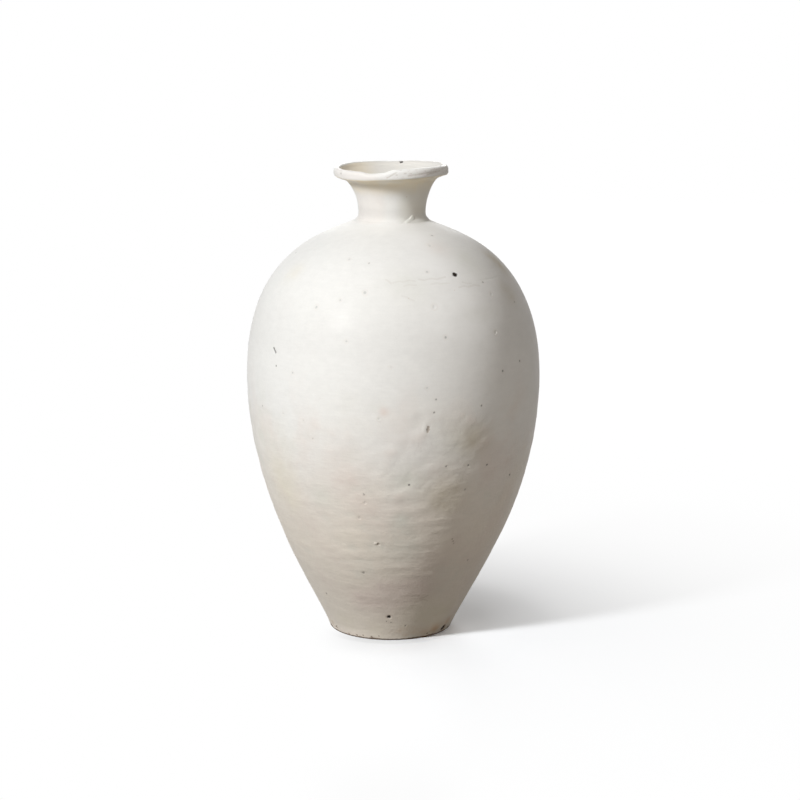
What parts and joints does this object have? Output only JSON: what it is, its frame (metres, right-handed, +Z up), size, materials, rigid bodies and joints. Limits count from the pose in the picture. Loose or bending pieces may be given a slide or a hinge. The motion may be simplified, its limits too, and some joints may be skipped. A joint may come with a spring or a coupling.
{
  "type": "meiping vase",
  "caption": "Tall white-glazed stoneware bottle vase with high round shoulders, a narrow foot, a short waisted neck and a rolled, flaring lip, for holding liquid or a flowering branch.",
  "frame": {"origin": "centre of the foot, on the plane that the bottle stands on", "axes": "+Z up along the bottle's axis of revolution, through the mouth; -Y faces the viewer of the picture, +X is to the right"},
  "size_m": [0.2256, 0.2256, 0.36],
  "materials": {
    "white_glaze": "satin, warm white glaze over buff stoneware",
    "slip": "matt fired slip"
  },
  "bodies": {
    "root": {"foot_section": "white_glaze", "lower_luting_seam": "slip", "belly_section": "white_glaze", "shoulder_luting_seam": "slip", "shoulder_section": "white_glaze", "neck_luting_seam": "slip", "neck": "white_glaze", "rolled_lip": "white_glaze"}
  },
  "joints": []
}
